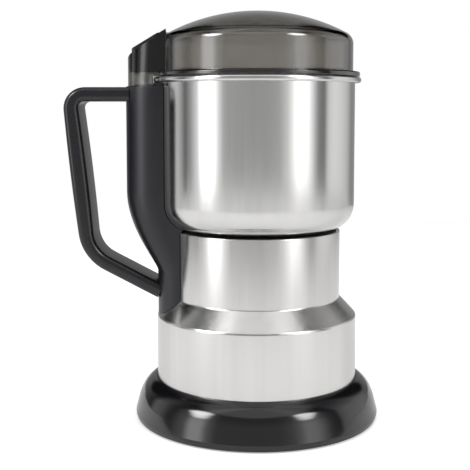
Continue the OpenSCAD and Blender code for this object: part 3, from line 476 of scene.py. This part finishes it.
# Black insert in the tab, with a pocket for the pad and its lugs, and a hole for the pad's stem.
def makeGuide(look, lid):
    left, right, half, edge = lid["hole"]
    lugLeft, lugRight, lugHalf, lugHigh = look["lugs"]
    floor, past = look["pocket"], look["past"]
    stem, reach = look["stem"]
    bm = carve(makeBlock(look["inset"], look["low"], look["drop"], look["seat"]),
               [("DIFFERENCE", makeCore(*look["lip"])),
                ("DIFFERENCE", makeBox((left, -half, floor), (right + past, half, cutHigh), edge)),
                ("DIFFERENCE", makeBox((lugLeft, -lugHalf, floor), (lugRight + past, lugHalf, lugHigh))),
                ("DIFFERENCE", makeRod(stem, reach, cutHigh))])
    makePiece("buttonGuide", bm, "lid", "button_plastic", ("button_guide",), 40)


# Frame round the pad, with a raised stop between the pad's upper end and the lid.
def makeBezel(look, lid):
    left, right, half, edge = lid["hole"]
    wide, low = look["wide"], look["low"]
    inset = lid["tabHalf"] - half - wide
    slope = math.cos(math.radians(lid["roof"][0][2]))
    outer = (right + look["reach"], half + wide, cutHigh)
    stop = carve(makeBlock(inset, low, -look["stopRise"] / slope, look["stopSeat"]),
                 [("INTERSECT", makeBox((right, -half - wide, look["stopLow"]), outer))])
    bm = carve(makeBlock(inset, low, -look["rise"] / slope, look["seat"]),
               [("INTERSECT", makeBox((left - wide, -half - wide, look["boxLow"]), outer, edge + wide)),
                ("DIFFERENCE", makeBlock(look["skin"], cutLow, 0, cutSeat)),
                ("DIFFERENCE", makeBox((left, -half, low), (right, half, cutHigh), edge)),
                ("DIFFERENCE", makeCore(look["seat"])), ("UNION", stop)])
    makePiece("buttonBezel", bm, "lid", "button_plastic", ("button_bezel",), 30)


makeLid(lidLook)
makeGuide(guideLook, lidLook)
makeBezel(bezelLook, lidLook)
print("lid made")


# Spine: one rounded-square section drawn down the bowl, in under it and onto the shoulder.
spineLook = {"halfWidth": 22, "square": 2.35, "bowlFace": 77.1, "bowlFlank": 55, "waistFace": 58.8,
             "waistFlank": 44, "curveFoot": 88, "curveTop": 135, "sweep": 0.65, "top": 196.3, "edge": 0.8,
             "gap": 0.25, "wall": 2.6, "back": 58.55, "rodX": -66, "rodHole": 3.3,
             "neck": 49.3, "bowl": 57.5, "bowlLow": 112, "bowlRound": 16, "shoulder": (72.5, 1.07),
             "footRows": (74, 74.5, 81), "curveRows": 28, "bowlRows": (150, 165, 180),
             "edgeTurns": (0.52, 1.05, 1.57)}


# Radius of what the spine lies against: the neck, the bowl's rounded foot and the bowl.
def bodyRadius(z, look):
    low, bend = look["bowlLow"], look["bowlRound"]
    if z < low:
        return look["neck"]
    if z > low + bend:
        return look["bowl"]
    return look["bowl"] - bend + math.sqrt(bend ** 2 - (low + bend - z) ** 2)


def spineRow(z, look, inset=0.0):
    along = min(1, max(0, (z - look["curveFoot"]) / (look["curveTop"] - look["curveFoot"]))) ** look["sweep"]
    share = along * along * (3 - 2 * along)
    flank = look["waistFlank"] + (look["bowlFlank"] - look["waistFlank"]) * share
    face = look["waistFace"] + (look["bowlFace"] - look["waistFace"]) * share - inset
    half = look["halfWidth"] - inset
    near = bodyRadius(z, look) + look["gap"] + inset
    row = [(-math.sqrt(near * near - half * half), -half)]
    for x, y in squareArc(face, flank, half, look["square"], 30):
        row.append((min(x, -math.sqrt(max(0, near * near - y * y))), y))
    row.append((row[0][0], half))
    return [Vector((x, y, z)) * mm for x, y in row]


def makeSpine(look):
    bm = bmesh.new()
    foot, top, rounding, turns = look["curveFoot"], look["top"], look["edge"], look["curveRows"]
    first, *others = look["footRows"]
    start, fall = look["shoulder"]
    lowest = spineRow(first, look)
    for point in lowest:
        point.z = (start - (math.hypot(point.x, point.y) / mm - look["neck"]) * fall) * mm
    heights = [*others, foot, *(foot + (look["curveTop"] - foot) * i / turns for i in range(1, turns + 1)),
               *look["bowlRows"], top - rounding]
    rows = [spineRow(z, look) for z in heights]
    rows += [spineRow(top - rounding * (1 - math.sin(a)), look, rounding * (1 - math.cos(a)))
             for a in look["edgeTurns"]]
    edge = [bm.verts.new(point) for point in lowest]
    chain = [bm.edges.new(pair) for pair in zip(edge, edge[1:])]
    for row in rows:
        grown = bmesh.ops.extrude_edge_only(bm, edges=chain)["geom"]
        edge = [next(e.other_vert(v) for e in v.link_edges if e.other_vert(v) in grown) for v in edge]
        for vert, point in zip(edge, row):
            vert.co = point
        chain = [next(e for e in v.link_edges if e.other_vert(v) is w) for v, w in zip(edge, edge[1:])]
    closing = [bm.edges.new((edge[-1], edge[0]))]
    back = bmesh.ops.subdivide_edges(bm, edges=closing, cuts=12)["geom_inner"]
    for vert in onlyOf(bmesh.types.BMVert, back):
        vert.co.x = -math.sqrt((look["back"] * mm) ** 2 - vert.co.y ** 2)
    bmesh.ops.create_circle(bm, segments=40, radius=look["rodHole"] * mm,
                            matrix=Matrix.Translation(Vector((look["rodX"], 0, top)) * mm))
    rim = [e for e in bm.edges if all(v.co.z > (top - 0.01) * mm for v in e.verts) and len(e.link_faces) < 2]
    bmesh.ops.triangle_fill(bm, edges=rim, use_dissolve=True)
    bmesh.ops.recalc_face_normals(bm, faces=bm.faces)
    if sum(f.calc_area() * math.copysign(1, f.normal.x) for f in bm.faces if f.normal.x) > 0:
        bmesh.ops.reverse_faces(bm, faces=bm.faces)
    bmesh.ops.solidify(bm, geom=bm.faces[:], thickness=look["wall"] * mm)
    makePiece("spineHousing", bm, "root", "spine_plastic", ("spine_housing",), 50)


# Dark step on the spine's top, with a collar under the bowl's rim, that closes the gap under the tab: a dark
# piece added as painted shade there, standing for no solid of the frame.
shadeStepLook = {"inset": 2.9, "low": 196.0, "high": 197.2, "slice": (-90, 30), "near": 57.8,
            "collarInset": 1.2, "collar": (62.3, 197.9), "rod": (-66, 3.3)}


def makeShadeStep(look):
    back, side = look["slice"]
    low, high = look["low"], look["high"]
    step = carve(makeBlock(look["inset"], low, 0, cutSeat),
                 [("INTERSECT", makeBox((back, -side, low), (0, side, high)))])
    collar = carve(makeBlock(look["collarInset"], low, 0, cutSeat), [("INTERSECT", makeCore(*look["collar"]))])
    rodX, rodRadius = look["rod"]
    bm = carve(step, [("UNION", collar), ("DIFFERENCE", makeCore(look["near"])),
                      ("DIFFERENCE", makeRod(rodX, rodRadius, cutHigh))])
    makePiece("spineShadeStep", bm, "root", "spine_plastic", (), 30)


makeSpine(spineLook)
makeShadeStep(shadeStepLook)
print("spine made")


# Handle: one section carried along the strap's middle line, as (x, z, bend) points, and swelling in the grip.
handleLook = {"width": 28, "arm": 8.4, "grip": 9.8, "edge": 3.2, "bendSteps": 12, "gripSteps": 8,
              "path": [(-74, 191.5, 0), (-109.13, 191.5, 8), (-99.01, 97.93, 23), (-56.5, 75.8, 0)]}


# Stations along the middle line, each a point and the way that the strap runs there.
def strapStations(look):
    path, bendSteps, gripSteps = look["path"], look["bendSteps"], look["gripSteps"]
    points = [Vector((x, z)) for x, z, _ in path]
    ways = [(b - a).normalized() for a, b in zip(points, points[1:])]
    turns = [-a.angle_signed(b) for a, b in zip(ways, ways[1:])]
    setBacks = [bend * math.tan(abs(turn) / 2) for (_, _, bend), turn in zip(path[1:], turns)]
    stations = [(points[0], ways[0])]
    for i, (turn, setBack) in enumerate(zip(turns, setBacks)):
        point, bend, into = points[i + 1], path[i + 1][2], ways[i]
        side = Vector((-into.y, into.x)) * math.copysign(1, turn)
        centre = point - into * setBack + side * bend
        for k in range(bendSteps + 1):
            spun = Matrix.Rotation(turn * k / bendSteps, 2)
            stations.append((centre - spun @ side * bend, spun @ into))
        if i == 0:
            start, end = stations[-1][0], points[2] - ways[1] * setBacks[1]
            stations += [(start.lerp(end, k / gripSteps), ways[1]) for k in range(1, gripSteps)]
    return [*stations, (points[-1], ways[-1])]


def stationFrame(centre, along, thick):
    across = Vector((-along.y, along.x)) * thick
    return Matrix(((across.x, 0, along.x, centre.x * mm), (0, 1, 0, 0),
                   (across.y, 0, along.y, centre.y * mm), (0, 0, 0, 1)))


def makeHandle(look):
    bm = bmesh.new()
    bmesh.ops.create_grid(bm, x_segments=1, y_segments=1, size=0.5)
    bmesh.ops.scale(bm, vec=(look["arm"] * mm, look["width"] * mm, 1), verts=bm.verts)
    roundOff(bm, bm.verts[:], look["edge"], 8, "VERTICES")
    bm.faces.ensure_lookup_table()
    low, high = look["path"][2][1], look["path"][0][1]
    here, face = Matrix.Identity(4), bm.faces[0]
    for i, (centre, along) in enumerate(strapStations(look)):
        swell = math.sin(math.pi * min(1, max(0, (centre.y - low) / (high - low))))
        there = stationFrame(centre, along, 1 + (look["grip"] / look["arm"] - 1) * swell)
        if i:
            grown = bmesh.ops.extrude_face_region(bm, geom=[face])["geom"]
            face = onlyOf(bmesh.types.BMFace, grown)[0]
        bmesh.ops.transform(bm, matrix=there @ here.inverted(), verts=face.verts[:])
        here = there
    makePiece("handle", bm, "root", "handle_plastic", ("handle",), 50)


makeHandle(handleLook)
print("handle made")


# Springs: a round wire wound round the stem, between its seats.
springLooks = {
    "buttonSpring": {"solid": "button_spring", "body": "lid", "joint": "button_press", "wire": 0.32, "turns": 3},
    "plungerSpring": {"solid": "plunger_spring", "body": "root", "joint": "switch_rod_slide", "wire": 0.32,
                      "turns": 5},
}


def makeSpring(name, look):
    low, high = (Vector(corner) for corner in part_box(look["solid"]))
    middle = (low + high) / 2
    wire, turns = look["wire"] * mm, look["turns"]
    steps = 32 * turns
    start = Vector((high.x - wire, middle.y, low.z + wire))
    bm = bmesh.new()
    bmesh.ops.create_circle(bm, segments=12, radius=wire,
                            matrix=Matrix.Translation(start) @ Matrix.Rotation(math.radians(90), 4, "X"))
    bmesh.ops.spin(bm, geom=bm.verts[:] + bm.edges[:], cent=middle, axis=(0, 0, 1), angle=whole * turns,
                   dvec=(0, 0, (high.z - low.z - 2 * wire) / steps), steps=steps)
    bmesh.ops.holes_fill(bm, edges=[e for e in bm.edges if e.is_boundary])
    spring = makePiece(name, bm, look["body"], "fastener", (look["solid"],), 50)
    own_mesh(spring)


for name, look in springLooks.items():
    makeSpring(name, look)
print("springs made:", len(springLooks))


# Studio. Bands are an azimuth and a level round the horizon, seen by gloss alone. Boxes are an azimuth and an
# elevation, the half angles where they are full and where they end, and a level. Fades are heights of the ray.
studioLook = {
    "bands": [(-180, 0.34), (-150, 0.3), (-136, 0.2), (-122, 0.08), (-114, 0.75), (-104, 0.7), (-92, 0.16),
              (-86, 0.2), (-78, 0.62), (-71, 0.9), (-64, 3.3), (-54, 3.4), (-47, 1.2), (-38, 0.45), (0, 0.41),
              (22, 0.44), (34, 0.7), (42, 1.3), (48, 2.2), (58, 1.9), (67, 0.9), (74, 0.3), (84, 0.1),
              (89, 0.8), (98, 1.0), (120, 0.8), (134, 0.5), (143, 0.27), (158, 0.32), (180, 0.34)],
    "boxes": [(-62, 36, 6, 13, 13.0), (54, 37, 5.5, 12, 11.0), (0, 75, 30, 39, 0.8),
              (-146, 32, 15, 19.5, -0.3), (146, 32, 15, 19.5, -0.3)],
    "ceiling": 0.2, "glossFade": (0.3, 0.75), "lidFade": (0.5, 0.85), "world": 0.5}
floorLook = {"colour": 0.8, "radius": 1.0, "glow": 0.4}
lampLooks = {"keyLamp": {"power": 4.2, "place": (-0.66, -0.38, 0.75), "size": 0.3},
             "fillLamp": {"power": 3.2, "place": (0.6, -0.48, 0.72), "size": 0.3},
             "topLamp": {"power": 5.0, "place": (0, 0.1, 1.1), "size": 0.8}}
lampAim = (0, 0, 0.12)


# 1 for what the camera sees, straight or through the clear lid.
def seenBy(tree, rays):
    return mathOf(tree, "MAXIMUM", rays["Is Camera Ray"], rays["Is Transmission Ray"])


def makeWorld(look):
    world = bpy.data.worlds.new("studioWorld")
    scene.world = world
    world.use_nodes = True
    tree = world.node_tree
    tree.nodes.clear()
    rays = addNode(tree, "ShaderNodeLightPath").outputs
    way = addNode(tree, "ShaderNodeTexCoord").outputs["Generated"]
    part = addNode(tree, "ShaderNodeSeparateXYZ", [("Vector", way)]).outputs
    turn = mathOf(tree, "ARCTAN2", part["X"], mathOf(tree, "MULTIPLY", part["Y"], -1.0))
    ramp = addNode(tree, "ShaderNodeValToRGB", [("Fac", rangeOf(tree, turn, -math.pi, math.pi))])
    stops, bands = ramp.color_ramp.elements, look["bands"]
    for i, (azimuth, level) in enumerate(bands):
        if i in (0, len(bands) - 1):
            stop = stops[0 if i == 0 else -1]
        else:
            stop = stops.new((azimuth + 180) / 360)
        stop.color = (level, level, level, 1)
    ceiling = rangeOf(tree, part["Z"], *look["glossFade"], 1, look["ceiling"])
    total = vectorOf(tree, "MULTIPLY", ramp.outputs["Color"], ceiling)
    for azimuth, elevation, core, rim, level in look["boxes"]:
        a, e = math.radians(azimuth), math.radians(elevation)
        aim = (math.sin(a) * math.cos(e), -math.cos(a) * math.cos(e), math.sin(e))
        close = vectorOf(tree, "DOT_PRODUCT", way, aim, "Value")
        glow = rangeOf(tree, close, math.cos(math.radians(rim)), math.cos(math.radians(core)), 0, level)
        total = vectorOf(tree, "ADD", total, glow)
    total = vectorOf(tree, "MAXIMUM", total, (0, 0, 0))
    studio = addNode(tree, "ShaderNodeBackground", [("Color", total), ("Strength", 1.0)])
    plain = addNode(tree, "ShaderNodeBackground", [("Color", white), ("Strength", look["world"])])
    through = rangeOf(tree, part["Z"], *look["lidFade"], 1, look["ceiling"])
    level = mathOf(tree, "MAXIMUM", rays["Is Camera Ray"], through)
    backdrop = addNode(tree, "ShaderNodeBackground", [("Color", white), ("Strength", level)])
    lit = addNode(tree, "ShaderNodeMixShader", [(0, rays["Is Glossy Ray"]), (1, plain.outputs[0]),
                                                (2, studio.outputs[0])])
    mixed = addNode(tree, "ShaderNodeMixShader", [(0, seenBy(tree, rays)), (1, lit.outputs[0]),
                                                  (2, backdrop.outputs[0])])
    addNode(tree, "ShaderNodeOutputWorld", [("Surface", mixed.outputs[0])])


def makeFloor(look):
    bm = bmesh.new()
    bmesh.ops.create_circle(bm, cap_ends=True, segments=96, radius=look["radius"])
    floor = addObject("floor", bm)
    paint = bpy.data.materials.new("floorFinish")
    paint.use_nodes = True
    tree = paint.node_tree
    tree.nodes.clear()
    rays = addNode(tree, "ShaderNodeLightPath").outputs
    level = mathOf(tree, "MULTIPLY", seenBy(tree, rays), look["glow"])
    matt = addNode(tree, "ShaderNodeBsdfDiffuse", [("Color", (look["colour"],) * 3 + (1,))])
    glow = addNode(tree, "ShaderNodeEmission", [("Color", white), ("Strength", level)])
    both = addNode(tree, "ShaderNodeAddShader", [(0, matt.outputs[0]), (1, glow.outputs[0])])
    addNode(tree, "ShaderNodeOutputMaterial", [("Surface", both.outputs[0])])
    floor.data.materials.append(paint)


def makeLamp(name, look):
    data = bpy.data.lights.new(name, "AREA")
    data.shape = "RECTANGLE"
    data.size = data.size_y = look["size"]
    data.energy = look["power"]
    lamp = bpy.data.objects.new(name, data)
    lamp.location = look["place"]
    lamp.rotation_euler = (Vector(lampAim) - Vector(look["place"])).to_track_quat("-Z", "Y").to_euler()
    lamp.visible_camera = False
    lamp.visible_glossy = False
    lamp.visible_transmission = False
    scene.collection.objects.link(lamp)


makeWorld(studioLook)
makeFloor(floorLook)
for name, look in lampLooks.items():
    makeLamp(name, look)
scene.view_settings.view_transform = "Standard"
print("studio made")
